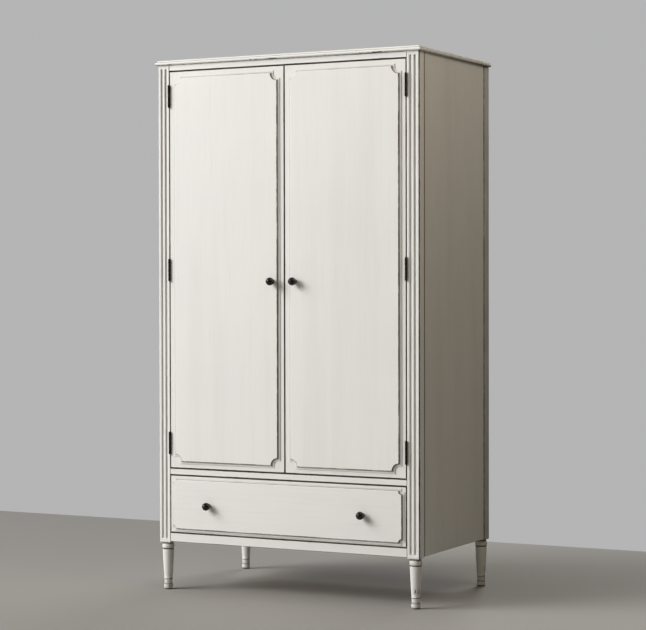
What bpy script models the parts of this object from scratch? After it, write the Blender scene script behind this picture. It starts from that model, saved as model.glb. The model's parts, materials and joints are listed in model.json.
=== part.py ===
"""Two-door armoire with one drawer, built from its separate wooden and metal pieces.

Frame: metres, +Z up, the doors face -Y. The origin is on the floor, under the centre of the
whole armoire's bounding box, door knobs included.
"""

import math

import bmesh
import bpy

# Driving dimensions.
BODY_WIDTH = 1.002          # over the outer faces of the corner posts
BODY_DEPTH = 0.596          # front face of the posts to the rear face
TOTAL_HEIGHT = 1.855
TOP_THICKNESS = 0.0165
TOP_OVERHANG = 0.0095       # at the front and both sides, flush at the rear
TOP_MOULDING = (            # (inset, height) up the top board's front and side edges
    (0.0050, 0.0), (0.0014, 0.0016), (0.0, 0.0052), (0.0014, 0.0088), (0.0048, 0.0104),
    (0.0056, 0.0112), (0.0066, 0.0142), (0.0108, TOP_THICKNESS))
POST_BOTTOM = 0.167
POST_WIDTH = 0.043
POST_DEPTH = 0.043
RAIL_BOTTOM = 0.1705
DRAWER_OPENING = (0.2015, 0.4065)
DOOR_OPENING = (0.4275, 1.8175)
REVEAL = 0.003              # working gap round the doors and the drawer
FIT = 0.0003                # gap between pieces that touch
RAIL_THICKNESS = 0.020
DOOR_THICKNESS = 0.020
PANEL_RISE = 0.0075         # how far a raised panel stands in front of its door
PANEL_LIP = 0.0022          # square edge of a raised panel, below its moulding
MOULDING = 0.009            # width of the raised panel's moulded edge
DOOR_MARGIN = 0.0155        # door edge to the panel's base
DOOR_SCOOP = 0.025          # radius of the hollow corners, on the flat of the panel
DRAWER_MARGIN = 0.0055
DRAWER_SCOOP = 0.0115
FLUTE_RADIUS = 0.0046
FLUTE_DEPTH = 0.0042
FLUTE_FROM_EDGE = (0.0134, 0.0296)
FLUTE_STOP = 0.0125
SIDE_THICKNESS = 0.014
SIDE_RECESS = 0.0005
SIDE_GROOVE = (0.0025, 0.004)   # width and depth of the shadow groove at the rear post
BOARD = 0.018
HAT_SHELF_TOP = 1.618
ROD_HEIGHT = 1.545
ROD_RADIUS = 0.0125
ROD_WALL = 0.0015
BACK_THICKNESS = 0.006
BACK_RAIL_HEIGHT = 0.060

HINGE_HEIGHT = 0.076
HINGE_LEAF = 0.001
HINGE_LEAF_DEPTH = 0.0185
HINGE_BARREL = 0.0039
HINGE_BORE = 0.0018
HINGE_PIN = 0.0015
HINGE_AXIS_AHEAD = 0.0042   # hinge axis in front of the posts' face
HINGE_LEVELS = (0.517, 1.1225, 1.729)
KNUCKLES = 5

KNOB_RADIUS = 0.014
KNOB_REACH = 0.033          # from the panel's face to the tip of the knob
DOOR_KNOB = (0.043, 1.082)
DRAWER_KNOB = (0.297, 0.303)

DRAWER_SIDE = 0.012
DRAWER_BOX_LENGTH = 0.500
DRAWER_BOX_HEIGHT = 0.170
DRAWER_BOX_HALF = 0.450
DRAWER_BOTTOM = 0.006
DRAWER_RUNNER_TOP = 0.2022
DRAWER_BOX_LIFT = 0.001

# Worked-out places.
HALF_WIDTH = BODY_WIDTH / 2
FRONT = -(BODY_DEPTH - PANEL_RISE - KNOB_REACH) / 2
REAR = FRONT + BODY_DEPTH
BODY_TOP = TOTAL_HEIGHT - TOP_THICKNESS
INNER = HALF_WIDTH - POST_WIDTH             # inner faces of the posts
SIDE_INNER = HALF_WIDTH - SIDE_RECESS - SIDE_THICKNESS
AXIS_X = INNER - REVEAL / 2
AXIS_Y = FRONT - HINGE_AXIS_AHEAD
PANEL_FACE = FRONT - PANEL_RISE

PAINT = ("antique_white_paint", (0.78, 0.75, 0.68), 0.55, 0.0)
EDGE_PAINT = ("antique_white_panels", (0.82, 0.79, 0.72), 0.55, 0.0)
INSIDE_WOOD = ("sealed_inside_wood", (0.55, 0.43, 0.30), 0.6, 0.0)
DARK_METAL = ("blackened_metal", (0.02, 0.018, 0.016), 0.45, 0.8)
ROD_METAL = ("brushed_rod_metal", (0.55, 0.53, 0.50), 0.35, 1.0)


def clear_scene():
    for obj in list(bpy.data.objects):
        bpy.data.objects.remove(obj, do_unlink=True)


def new_collection(name):
    collection = bpy.data.collections.new(name)
    bpy.context.scene.collection.children.link(collection)
    return collection


def finish_material(obj, finish):
    """Give the object a Principled material of its own."""
    name, colour, roughness, metallic = finish
    material = bpy.data.materials.new(f"{name}_{obj.name}")
    material.use_nodes = True
    shader = material.node_tree.nodes["Principled BSDF"]
    shader.inputs["Base Color"].default_value = (*colour, 1.0)
    shader.inputs["Roughness"].default_value = roughness
    shader.inputs["Metallic"].default_value = metallic
    material.diffuse_color = (*colour, 1.0)
    obj.data.materials.clear()
    obj.data.materials.append(material)


def place(obj, finish, location=(0, 0, 0), parent=None):
    """Link the object, set its material and put it at a world location."""
    ARMOIRE.objects.link(obj)
    finish_material(obj, finish)
    obj.location = location
    if parent is not None:
        obj.parent = parent
        obj.location = [location[i] - parent.location[i] for i in range(3)]
    return obj


def mesh_object(name, bm):
    bmesh.ops.recalc_face_normals(bm, faces=bm.faces)
    mesh = bpy.data.meshes.new(name)
    bm.to_mesh(mesh)
    bm.free()
    return bpy.data.objects.new(name, mesh)


def axis_empty(name, location):
    empty = bpy.data.objects.new(name, None)
    empty.empty_display_size = 0.05
    ARMOIRE.objects.link(empty)
    empty.location = location
    return empty


def box(name, span_x, span_y, span_z, finish, parent=None):
    """A square board between three pairs of world limits."""
    bm = bmesh.new()
    bmesh.ops.create_cube(bm, size=1.0)
    spans = (span_x, span_y, span_z)
    bmesh.ops.scale(bm, vec=[high - low for low, high in spans], verts=bm.verts)
    centre = [(low + high) / 2 for low, high in spans]
    return place(mesh_object(name, bm), finish, centre, parent)


def outline_prism(name, points, length):
    """A mesh object: a flat outline extruded by `length` along its own +Z."""
    curve = bpy.data.curves.new(name, "CURVE")
    curve.dimensions = "2D"
    curve.fill_mode = "BOTH"
    curve.extrude = length / 2
    spline = curve.splines.new("POLY")
    spline.points.add(len(points) - 1)
    for point, (x, y) in zip(spline.points, points):
        point.co = (x, y, 0, 1)
    spline.use_cyclic_u = True
    guide = bpy.data.objects.new(name + "_outline", curve)
    bpy.context.scene.collection.objects.link(guide)
    evaluated = guide.evaluated_get(bpy.context.evaluated_depsgraph_get())
    mesh = bpy.data.meshes.new_from_object(evaluated)
    bpy.data.objects.remove(guide, do_unlink=True)
    bm = bmesh.new()
    bm.from_mesh(mesh)
    bmesh.ops.remove_doubles(bm, verts=bm.verts, dist=1e-5)
    bmesh.ops.translate(bm, vec=(0, 0, length / 2), verts=bm.verts)
    bpy.data.meshes.remove(mesh)
    return mesh_object(name, bm)


def add_screw(obj, steps):
    spin = obj.modifiers.new("turning", "SCREW")
    spin.steps = steps
    spin.render_steps = steps
    spin.use_merge_vertices = True
    spin.merge_threshold = 0.00005
    spin.use_smooth_shade = True


def turned(name, profile, steps):
    """A turned piece: (radius, height) points from top to bottom, spun about Z."""
    mesh = bpy.data.meshes.new(name)
    mesh.from_pydata([(radius, 0, height) for radius, height in profile],
                     [(i, i + 1) for i in range(len(profile) - 1)], [])
    obj = bpy.data.objects.new(name, mesh)
    add_screw(obj, steps)
    return obj


def add_boolean(obj, other, operation):
    cut = obj.modifiers.new(operation.lower(), "BOOLEAN")
    cut.operation = operation
    cut.object = other
    cut.solver = "EXACT"


def guide_piece(obj, location=(0, 0, 0)):
    """Keep a cutter or an operand out of the finished armoire."""
    CUTTERS.objects.link(obj)
    obj.location = location
    obj.hide_render = True
    obj.display_type = "WIRE"
    return obj


def loft(name, rings, bm):
    """Join rings of the same number of verts, lowest first, and close both ends."""
    count = len(rings[0])
    for lower, upper in zip(rings, rings[1:]):
        for i in range(count):
            following = (i + 1) % count
            bm.faces.new((lower[i], lower[following], upper[following], upper[i]))
    bm.faces.new(list(reversed(rings[0])))
    bm.faces.new(rings[-1])
    bmesh.ops.remove_doubles(bm, verts=bm.verts, dist=1e-5)
    return mesh_object(name, bm)


def make_top():
    """The top board: a bullnose, a quirk and a smaller rounded edge above it, on three sides."""
    bm = bmesh.new()
    rings = []
    for inset, height in TOP_MOULDING:
        half = HALF_WIDTH + TOP_OVERHANG - inset
        front = FRONT - TOP_OVERHANG + inset
        plan = ((-half, front), (half, front), (half, REAR), (-half, REAR))
        rings.append([bm.verts.new((x, y, BODY_TOP + height)) for x, y in plan])
    place(loft("top_board", rings, bm), PAINT)


def flute_cutter(name, x, y, bottom, top):
    """A round-ended rod: a ball whose upper half is raised to the flute's top."""
    bm = bmesh.new()
    bmesh.ops.create_uvsphere(bm, u_segments=16, v_segments=7, radius=FLUTE_RADIUS)
    upper = [vert for vert in bm.verts if vert.co.z > 0]
    bmesh.ops.translate(bm, vec=(0, 0, top - bottom - 2 * FLUTE_RADIUS), verts=upper)
    return guide_piece(mesh_object(name, bm), (x, y, bottom + FLUTE_RADIUS))


def make_posts():
    flute_y = FRONT + FLUTE_DEPTH - FLUTE_RADIUS
    for side, side_name in ((-1, "left"), (1, "right")):
        span_x = sorted((side * INNER, side * HALF_WIDTH))
        span_z = (POST_BOTTOM, BODY_TOP - FIT)
        front = box(f"front_{side_name}_post", span_x, (FRONT, FRONT + POST_DEPTH), span_z, PAINT)
        for index, inset in enumerate(FLUTE_FROM_EDGE):
            cutter = flute_cutter(f"{side_name}_flute_{index + 1}", side * (HALF_WIDTH - inset),
                                  flute_y, POST_BOTTOM + FLUTE_STOP, BODY_TOP - FLUTE_STOP)
            add_boolean(front, cutter, "DIFFERENCE")
        box(f"rear_{side_name}_post", span_x, (REAR - POST_DEPTH, REAR), span_z, PAINT)


def make_rails():
    span_x = (-INNER + FIT, INNER - FIT)
    front_y = (FRONT, FRONT + RAIL_THICKNESS)
    box("top_front_rail", span_x, front_y, (DOOR_OPENING[1], BODY_TOP - FIT), PAINT)
    box("middle_front_rail", span_x, front_y, (DRAWER_OPENING[1], DOOR_OPENING[0]), PAINT)
    box("bottom_front_rail", span_x, front_y, (RAIL_BOTTOM, DRAWER_OPENING[0]), PAINT)
    back_y = (REAR - BACK_THICKNESS - FIT - RAIL_THICKNESS, REAR - BACK_THICKNESS - FIT)
    back_low = (RAIL_BOTTOM, RAIL_BOTTOM + BACK_RAIL_HEIGHT)
    back_high = (BODY_TOP - FIT - BACK_RAIL_HEIGHT, BODY_TOP - FIT)
    box("back_bottom_rail", span_x, back_y, back_low, INSIDE_WOOD)
    box("back_top_rail", span_x, back_y, back_high, INSIDE_WOOD)
    box("back_panel", span_x, (REAR - BACK_THICKNESS, REAR), (RAIL_BOTTOM, BODY_TOP - FIT), PAINT)


def make_side_panels():
    """Side panels, drawn in plan, with the shadow groove along the rear post."""
    outer = HALF_WIDTH - SIDE_RECESS
    front = FRONT + POST_DEPTH + FIT
    rear = REAR - POST_DEPTH - FIT
    groove_width, groove_depth = SIDE_GROOVE
    for side, side_name in ((-1, "left"), (1, "right")):
        plan = [(SIDE_INNER, front), (outer, front), (outer, rear - groove_width),
                (outer - groove_depth, rear - groove_width), (outer - groove_depth, rear),
                (SIDE_INNER, rear)]
        plan = [(side * x, y) for x, y in plan]
        panel = outline_prism(f"{side_name}_side_panel", plan, BODY_TOP - FIT - RAIL_BOTTOM)
        place(panel, PAINT, (0, 0, RAIL_BOTTOM))


def make_shelves():
    """The cabinet floor and the hat shelf, notched round the four posts."""
    inner = SIDE_INNER - FIT
    post = INNER - FIT
    back = REAR - BACK_THICKNESS - FIT
    rear_notch = REAR - POST_DEPTH - FIT
    front_notch = FRONT + POST_DEPTH + FIT
    front_edges = {"cabinet_floor": (FRONT + RAIL_THICKNESS + FIT, DOOR_OPENING[0]),
                   "hat_shelf": (FRONT + POST_DEPTH + FIT, HAT_SHELF_TOP)}
    for name, (front, top) in front_edges.items():
        half = [(post, front)] if front < front_notch else []
        half += [(post, front_notch), (inner, front_notch)] if front < front_notch else [(inner, front)]
        half += [(inner, rear_notch), (post, rear_notch), (post, back)]
        outline = half + [(-x, y) for x, y in reversed(half)]
        shelf = outline_prism(name, outline, BOARD)
        place(shelf, INSIDE_WOOD, (0, 0, top - BOARD))


def make_hanging_rod():
    """A tube across the hanging space, held in a cup on each side panel."""
    cup_base = 0.003
    cup_depth = 0.015
    cup_bore = ROD_RADIUS + 0.0005
    cup_radius = 0.021
    cup_rim = 0.017
    flange = 0.004
    end_play = 0.0005
    half = SIDE_INNER - FIT - cup_base - end_play
    middle_y = (FRONT + REAR) / 2
    ring = [(ROD_RADIUS, half), (ROD_RADIUS, -half), (ROD_RADIUS - ROD_WALL, -half),
            (ROD_RADIUS - ROD_WALL, half), (ROD_RADIUS, half)]
    rod = turned("hanging_rod", ring, 24)
    place(rod, ROD_METAL, (0, middle_y, ROD_HEIGHT))
    rod.rotation_euler = (0, math.pi / 2, 0)
    cup = [(0, cup_base), (cup_bore, cup_base), (cup_bore, cup_depth),
           (cup_rim, cup_depth), (cup_radius, flange), (cup_radius, 0), (0, 0)]
    for side, side_name in ((-1, "left"), (1, "right")):
        socket = turned(f"{side_name}_rod_socket", cup, 24)
        place(socket, ROD_METAL, (side * (SIDE_INNER - FIT), middle_y, ROD_HEIGHT))
        socket.rotation_euler = (0, -side * math.pi / 2, 0)


def make_legs():
    """Turned, tapered legs: rounded foot, incised ring, long taper, torus and neck."""
    top = POST_BOTTOM - FIT
    profile = [(0, top), (0.0185, top), (0.0185, 0.1625), (0.0202, 0.1590), (0.0213, 0.1545),
               (0.0215, 0.1500), (0.0208, 0.1462), (0.0190, 0.1444), (0.0188, 0.1432), (0.0200, 0.1412),
               (0.0145, 0.0395), (0.0152, 0.0376), (0.0130, 0.0358), (0.0150, 0.0338),
               (0.0139, 0.0200), (0.0155, 0.0125), (0.0148, 0.0060), (0.0120, 0.0), (0, 0)]
    inset = POST_WIDTH / 2
    for side, side_name in ((-1, "left"), (1, "right")):
        for y, end in ((FRONT + POST_DEPTH / 2, "front"), (REAR - POST_DEPTH / 2, "rear")):
            leg = turned(f"{end}_{side_name}_leg", profile, 20)
            place(leg, PAINT, (side * (HALF_WIDTH - inset), y, 0))


def scooped_ring(bm, half_width, half_height, scoop, radius, height):
    """One ring of a scooped panel: straight sides, short steps and a hollow arc at each corner.

    The arcs keep the same centres on every ring; on the panel's flat the steps vanish.
    """
    arc_steps = 6
    step = scoop - radius
    corner = [(half_width, half_height - scoop)]
    for i in range(arc_steps + 1):
        angle = math.radians(270 - 90 * i / arc_steps)
        corner.append((half_width - step + radius * math.cos(angle),
                       half_height - step + radius * math.sin(angle)))
    corner.append((half_width - scoop, half_height))
    points = list(corner)
    points += [(-x, y) for x, y in reversed(corner)]
    points += [(-x, -y) for x, y in corner]
    points += [(x, -y) for x, y in reversed(corner)]
    return [bm.verts.new((x, y, height)) for x, y in points]


def raised_panel(name, half_width, half_height, scoop, location, parent):
    """A flat panel with hollow corners and a sloped edge: a loft from its base to its flat."""
    bm = bmesh.new()
    rise = PANEL_RISE - FIT
    base = (half_width, half_height, scoop, scoop - MOULDING)
    flat = (half_width - MOULDING, half_height - MOULDING, scoop, scoop)
    rings = [scooped_ring(bm, *base, 0), scooped_ring(bm, *base, PANEL_LIP), scooped_ring(bm, *flat, rise)]
    panel = place(loft(name, rings, bm), EDGE_PAINT, location, parent)
    panel.rotation_euler = (math.pi / 2, 0, 0)


def make_knob(name, x, z, parent):
    """A round knob on a slim neck with a small foot."""
    foot_radius = 0.0085
    foot_height = 0.0035
    neck_radius = 0.0042
    neck_height = 0.0055
    ball_height = KNOB_REACH - KNOB_RADIUS
    profile = [(0, KNOB_REACH)]
    for degrees in (22, 44, 66, 90, 114, 136):
        angle = math.radians(degrees)
        profile.append((KNOB_RADIUS * math.sin(angle), ball_height + KNOB_RADIUS * math.cos(angle)))
    profile += [(neck_radius, neck_height), (foot_radius, foot_height), (foot_radius, FIT), (0, FIT)]
    knob = turned(name, profile, 16)
    place(knob, DARK_METAL, (x, PANEL_FACE, z), parent)
    knob.rotation_euler = (math.pi / 2, 0, 0)


def knuckle_spans(own):
    """Heights of every second knuckle of a hinge, about the hinge's middle."""
    pitch = HINGE_HEIGHT / KNUCKLES
    play = 0.0002
    start = 0 if own == "frame" else 1
    return [(-HINGE_HEIGHT / 2 + i * pitch + play, -HINGE_HEIGHT / 2 + (i + 1) * pitch - play)
            for i in range(start, KNUCKLES, 2)]


def hinge_leaf_mesh(own):
    """One leaf with its knuckles, about the hinge axis; the frame leaf lies at +X."""
    near = HINGE_AXIS_AHEAD + 0.0003
    tab = 0.0027
    inset = 0.0006
    comb = [(HINGE_AXIS_AHEAD + HINGE_LEAF_DEPTH, HINGE_HEIGHT / 2),
            (HINGE_AXIS_AHEAD + HINGE_LEAF_DEPTH, -HINGE_HEIGHT / 2), (near, -HINGE_HEIGHT / 2)]
    rings = []
    for low, high in knuckle_spans(own):
        comb += [(near, low + inset), (tab, low + inset), (tab, high - inset), (near, high - inset)]
        rings.append([(HINGE_BARREL, high), (HINGE_BARREL, low), (HINGE_BORE, low), (HINGE_BORE, high)])
    comb.append((near, HINGE_HEIGHT / 2))
    profile = bpy.data.meshes.new(f"{own}_leaf_knuckles")
    points = [(radius, 0, height) for ring in rings for radius, height in ring]
    edges = [(4 * ring + i, 4 * ring + (i + 1) % 4) for ring in range(len(rings)) for i in range(4)]
    profile.from_pydata(points, edges, [])
    barrel = guide_piece(bpy.data.objects.new(f"{own}_leaf_knuckles", profile))
    add_screw(barrel, 12)
    leaf = outline_prism(f"{own}_leaf", comb, HINGE_LEAF)
    away = 0.0002 if own == "frame" else -0.0002 - HINGE_LEAF
    bm = bmesh.new()
    bm.from_mesh(leaf.data)
    for vert in bm.verts:
        vert.co = (vert.co.z + away, vert.co.x, vert.co.y)
    bmesh.ops.recalc_face_normals(bm, faces=bm.faces)
    bm.to_mesh(leaf.data)
    bm.free()
    bpy.context.scene.collection.objects.link(leaf)
    add_boolean(leaf, barrel, "UNION")
    evaluated = leaf.evaluated_get(bpy.context.evaluated_depsgraph_get())
    mesh = bpy.data.meshes.new_from_object(evaluated)
    mesh.name = f"{own}_leaf"
    bpy.data.objects.remove(leaf, do_unlink=True)
    return mesh


def make_hinges(doors):
    """Three butt hinges a door: a leaf on the post, a leaf on the door, and a pin."""
    meshes = {own: hinge_leaf_mesh(own) for own in ("frame", "door")}
    head = HINGE_BARREL - 0.0006
    half = HINGE_HEIGHT / 2
    pin_profile = [(0, half + 0.0016), (head * 0.7, half + 0.0016), (head, half + 0.0008),
                   (head, half + FIT), (HINGE_PIN, half + FIT), (HINGE_PIN, -half - FIT),
                   (head, -half - FIT), (head, -half - 0.0008), (head * 0.7, -half - 0.0016),
                   (0, -half - 0.0016)]
    for side, side_name in ((-1, "left"), (1, "right")):
        for level, level_name in zip(HINGE_LEVELS, ("lower", "middle", "upper")):
            prefix = f"{side_name}_{level_name}_hinge"
            axis = (side * AXIS_X, AXIS_Y, level)
            turn = (0, 0, 0) if side > 0 else (0, math.pi, 0)
            for own, parent in (("frame", None), ("door", doors[side_name])):
                leaf = bpy.data.objects.new(f"{prefix}_{own}_leaf", meshes[own].copy())
                place(leaf, DARK_METAL, axis, parent)
                leaf.rotation_euler = turn
            place(turned(f"{prefix}_pin", pin_profile, 12), DARK_METAL, axis)


def make_door(side, side_name):
    axis = axis_empty(f"{side_name}_door_axis", (side * AXIS_X, AXIS_Y, 0))
    span_x = sorted((side * REVEAL / 2, side * (INNER - REVEAL)))
    span_z = (DOOR_OPENING[0] + REVEAL, DOOR_OPENING[1] - REVEAL)
    box(f"{side_name}_door", span_x, (FRONT, FRONT + DOOR_THICKNESS), span_z, PAINT, axis)
    half_width = (span_x[1] - span_x[0]) / 2 - DOOR_MARGIN
    half_height = (span_z[1] - span_z[0]) / 2 - DOOR_MARGIN
    centre = (sum(span_x) / 2, FRONT - FIT, sum(span_z) / 2)
    raised_panel(f"{side_name}_door_raised_panel", half_width, half_height, DOOR_SCOOP, centre, axis)
    make_knob(f"{side_name}_door_knob", side * DOOR_KNOB[0], DOOR_KNOB[1], axis)
    make_catch(side, side_name, span_z[1], axis)
    return axis


def make_catch(side, side_name, door_top, axis):
    """A magnetic catch behind the top rail, and the steel strike that it holds."""
    middle = side * 0.060
    strike_half, strike_thickness = 0.018, 0.001
    strike_z = (door_top - 0.024, door_top - 0.010)
    catch_half, catch_depth, catch_gap = 0.022, 0.016, 0.0004
    behind = FRONT + DOOR_THICKNESS + FIT
    strike_y = (behind, behind + strike_thickness)
    box(f"{side_name}_door_strike", (middle - strike_half, middle + strike_half), strike_y, strike_z,
        ROD_METAL, axis)
    catch_y = (strike_y[1] + catch_gap, strike_y[1] + catch_gap + catch_depth)
    catch_z = (strike_z[0] - 0.002, BODY_TOP - FIT)
    box(f"{side_name}_door_catch", (middle - catch_half, middle + catch_half), catch_y, catch_z, DARK_METAL)


def make_drawer():
    """The drawer: front with its raised panel, two grooved sides, back, bottom, two knobs."""
    axis = axis_empty("drawer_axis", (0, FRONT, sum(DRAWER_OPENING) / 2))
    half = INNER - REVEAL
    span_z = (DRAWER_OPENING[0] + REVEAL, DRAWER_OPENING[1] - REVEAL)
    front_y = (FRONT, FRONT + DOOR_THICKNESS)
    box("drawer_front", (-half, half), front_y, span_z, PAINT, axis)
    raised_panel("drawer_raised_panel", half - DRAWER_MARGIN, (span_z[1] - span_z[0]) / 2 - DRAWER_MARGIN,
                 DRAWER_SCOOP, (0, FRONT - FIT, sum(span_z) / 2), axis)
    start = front_y[1] + FIT
    low = DRAWER_RUNNER_TOP + DRAWER_BOX_LIFT
    high = low + DRAWER_BOX_HEIGHT
    groove_level = low + 0.012
    groove = (groove_level, groove_level + DRAWER_BOTTOM + 2 * FIT)
    groove_depth = 0.005
    outer = DRAWER_BOX_HALF
    inner = outer - DRAWER_SIDE
    for side, side_name in ((-1, "left"), (1, "right")):
        section = [(outer, low), (outer, high), (inner, high), (inner, groove[1]),
                   (inner + groove_depth, groove[1]), (inner + groove_depth, groove[0]),
                   (inner, groove[0]), (inner, low)]
        section = [(side * x, z) for x, z in section]
        wall = outline_prism(f"drawer_{side_name}_side", section, DRAWER_BOX_LENGTH)
        place(wall, INSIDE_WOOD, (0, start + DRAWER_BOX_LENGTH, 0), axis)
        wall.rotation_euler = (math.pi / 2, 0, 0)
        make_knob(f"drawer_{side_name}_knob", side * DRAWER_KNOB[0], DRAWER_KNOB[1], axis)
    back_y = (start + DRAWER_BOX_LENGTH - DRAWER_SIDE, start + DRAWER_BOX_LENGTH)
    box("drawer_back", (-inner + FIT, inner - FIT), back_y, (groove[1] + FIT, high), INSIDE_WOOD, axis)
    reach = inner + groove_depth - FIT
    box("drawer_bottom", (-reach, reach), (start, back_y[1]), (groove[0] + FIT, groove[1] - FIT),
        INSIDE_WOOD, axis)


def make_runners():
    """L-shaped wooden runners that carry and guide the drawer's sides."""
    front = FRONT + POST_DEPTH + FIT
    rear = REAR - POST_DEPTH - FIT
    ledge_beyond, side_play = 0.002, 0.0015
    ledge_inner = DRAWER_BOX_HALF - DRAWER_SIDE - ledge_beyond
    guide_inner = DRAWER_BOX_HALF + side_play
    wall = SIDE_INNER - FIT
    bottom = DRAWER_RUNNER_TOP - BOARD
    guide_height = 0.034
    guide_top = DRAWER_RUNNER_TOP + guide_height
    for side, side_name in ((-1, "left"), (1, "right")):
        section = [(ledge_inner, bottom), (wall, bottom), (wall, guide_top), (guide_inner, guide_top),
                   (guide_inner, DRAWER_RUNNER_TOP), (ledge_inner, DRAWER_RUNNER_TOP)]
        section = [(side * x, z) for x, z in section]
        runner = outline_prism(f"{side_name}_drawer_runner", section, rear - front)
        place(runner, INSIDE_WOOD, (0, rear, 0))
        runner.rotation_euler = (math.pi / 2, 0, 0)


clear_scene()
ARMOIRE = new_collection("armoire")
CUTTERS = new_collection("cutters")
make_top()
make_posts()
make_rails()
make_side_panels()
make_shelves()
make_hanging_rod()
make_legs()
door_axes = {name: make_door(side, name) for side, name in ((-1, "left"), (1, "right"))}
make_hinges(door_axes)
make_drawer()
make_runners()
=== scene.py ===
"""Looks for the painted armoire: turned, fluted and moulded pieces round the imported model."""

import json
import math
from contextlib import contextmanager

import bmesh
import bpy
from mathutils import Matrix, Vector


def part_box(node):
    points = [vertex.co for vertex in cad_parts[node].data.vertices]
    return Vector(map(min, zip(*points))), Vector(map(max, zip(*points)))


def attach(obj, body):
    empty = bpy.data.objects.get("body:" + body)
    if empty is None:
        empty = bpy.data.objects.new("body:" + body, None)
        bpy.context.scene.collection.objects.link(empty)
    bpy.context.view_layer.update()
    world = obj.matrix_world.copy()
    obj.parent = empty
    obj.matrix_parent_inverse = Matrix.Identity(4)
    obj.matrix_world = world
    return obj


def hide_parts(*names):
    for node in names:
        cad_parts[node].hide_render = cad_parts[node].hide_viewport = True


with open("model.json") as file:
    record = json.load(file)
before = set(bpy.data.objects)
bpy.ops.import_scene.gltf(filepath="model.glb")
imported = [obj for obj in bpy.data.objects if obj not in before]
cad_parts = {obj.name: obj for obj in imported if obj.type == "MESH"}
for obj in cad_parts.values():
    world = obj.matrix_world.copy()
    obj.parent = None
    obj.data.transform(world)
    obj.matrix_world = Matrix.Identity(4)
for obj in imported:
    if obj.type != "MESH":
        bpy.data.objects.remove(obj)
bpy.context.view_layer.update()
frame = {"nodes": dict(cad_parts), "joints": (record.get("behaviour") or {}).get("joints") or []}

# ---------------------------------------------------------------- places read from the frame
BODY_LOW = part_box("front_left_post")[0]
BODY_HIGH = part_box("rear_right_post")[1]
FRONT = BODY_LOW.y
REAR = BODY_HIGH.y
HALF_WIDTH = BODY_HIGH.x
PANEL_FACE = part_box("left_door_raised_panel")[0].y
SIDES = (("left", -1), ("right", 1))
HINGE_AXIS = {side: Vector(joint["pos_m"]) for side, _ in SIDES for joint in frame["joints"]
              if joint["name"] == f"{side}_door_hinge"}
X, Y, Z = 0, 1, 2
TOUCHING = 0.00001      # points closer than this are one point
ON_FACE = 0.0001        # a point closer than this to a face lies on it

# ---------------------------------------------------------------- shaping helpers


def only(obj):
    """Make this the one selected and active object."""
    bpy.ops.object.select_all(action="DESELECT")
    obj.select_set(True)
    bpy.context.view_layer.objects.active = obj


@contextmanager
def editing(obj):
    """Edit mode on one object, with nothing selected to begin with."""
    only(obj)
    bpy.ops.object.mode_set(mode="EDIT")
    bpy.ops.mesh.select_mode(type="VERT")
    bpy.ops.mesh.select_all(action="DESELECT")
    yield
    bpy.ops.object.mode_set(mode="OBJECT")


def pick(obj, kind, test):
    """In edit mode, select the faces, edges or verts that pass the test."""
    modes = {"verts": "VERT", "edges": "EDGE", "faces": "FACE"}
    bpy.ops.mesh.select_all(action="DESELECT")
    bpy.ops.mesh.select_mode(type=modes[kind])
    bm = bmesh.from_edit_mesh(obj.data)
    for element in getattr(bm, kind):
        if test(element):
            element.select_set(True)
    bmesh.update_edit_mesh(obj.data)


def settle(obj, name):
    """Name a new object and put its place into its mesh."""
    only(obj)
    obj.name = name
    obj.data.name = name
    bpy.ops.object.transform_apply(location=True, rotation=True, scale=True)
    return obj


def block(name, low, high):
    """A plain starting block between two corners."""
    low, high = Vector(low), Vector(high)
    bpy.ops.object.select_all(action="DESELECT")
    bpy.ops.mesh.primitive_cube_add(size=1, location=(low + high) / 2, scale=high - low)
    return settle(bpy.context.object, name)


def sheet(name, middle, width, depth, tilt=0.0):
    """A flat starting sheet, tilted about X."""
    bpy.ops.object.select_all(action="DESELECT")
    bpy.ops.mesh.primitive_plane_add(size=1, location=middle, rotation=(tilt, 0, 0))
    bpy.context.object.scale = (width, depth, 1)
    return settle(bpy.context.object, name)


def ease(obj, width, segments=2):
    """Round every edge of a block."""
    with editing(obj):
        bpy.ops.mesh.select_all(action="SELECT")
        bpy.ops.mesh.bevel(offset=width, segments=segments, affect="EDGES")


def ease_sharp(obj, width, segments=2, angle=35):
    """Round only the sharp edges of a shape."""
    bevel = obj.modifiers.new("eased", "BEVEL")
    bevel.width = width
    bevel.segments = segments
    bevel.limit_method = "ANGLE"
    bevel.angle_limit = math.radians(angle)
    bevel.harden_normals = False
    apply_all(obj)


def apply_all(obj):
    only(obj)
    for modifier in list(obj.modifiers):
        bpy.ops.object.modifier_apply(modifier=modifier.name)


def score(obj, axis, places):
    """Add flat cuts across the piece, so that a wear mask can end there."""
    normal = [1.0 if i == axis else 0.0 for i in range(3)]
    with editing(obj):
        for place in places:
            bpy.ops.mesh.select_all(action="SELECT")
            at = [place if i == axis else 0.0 for i in range(3)]
            bpy.ops.mesh.bisect(plane_co=at, plane_no=normal)


def carve(obj, cutters):
    """Cut other objects out of this one and remove them."""
    for cutter in cutters:
        cut = obj.modifiers.new("carve", "BOOLEAN")
        cut.operation = "DIFFERENCE"
        cut.object = cutter
        cut.solver = "EXACT"
    apply_all(obj)
    for cutter in cutters:
        discard(cutter)


def join(pieces, name):
    bpy.ops.object.select_all(action="DESELECT")
    for piece in pieces:
        piece.select_set(True)
    bpy.context.view_layer.objects.active = pieces[0]
    bpy.ops.object.join()
    pieces[0].name = name
    return pieces[0]


def copy_to(obj, name, turn=(0, 0, 0), move=(0, 0, 0)):
    """A copy with its own mesh, turned and then moved, all in its mesh."""
    twin = obj.copy()
    twin.data = obj.data.copy()
    bpy.context.collection.objects.link(twin)
    twin.rotation_euler = turn
    twin.location = move
    return settle(twin, name)


def discard(obj):
    bpy.data.objects.remove(obj, do_unlink=True)


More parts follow.
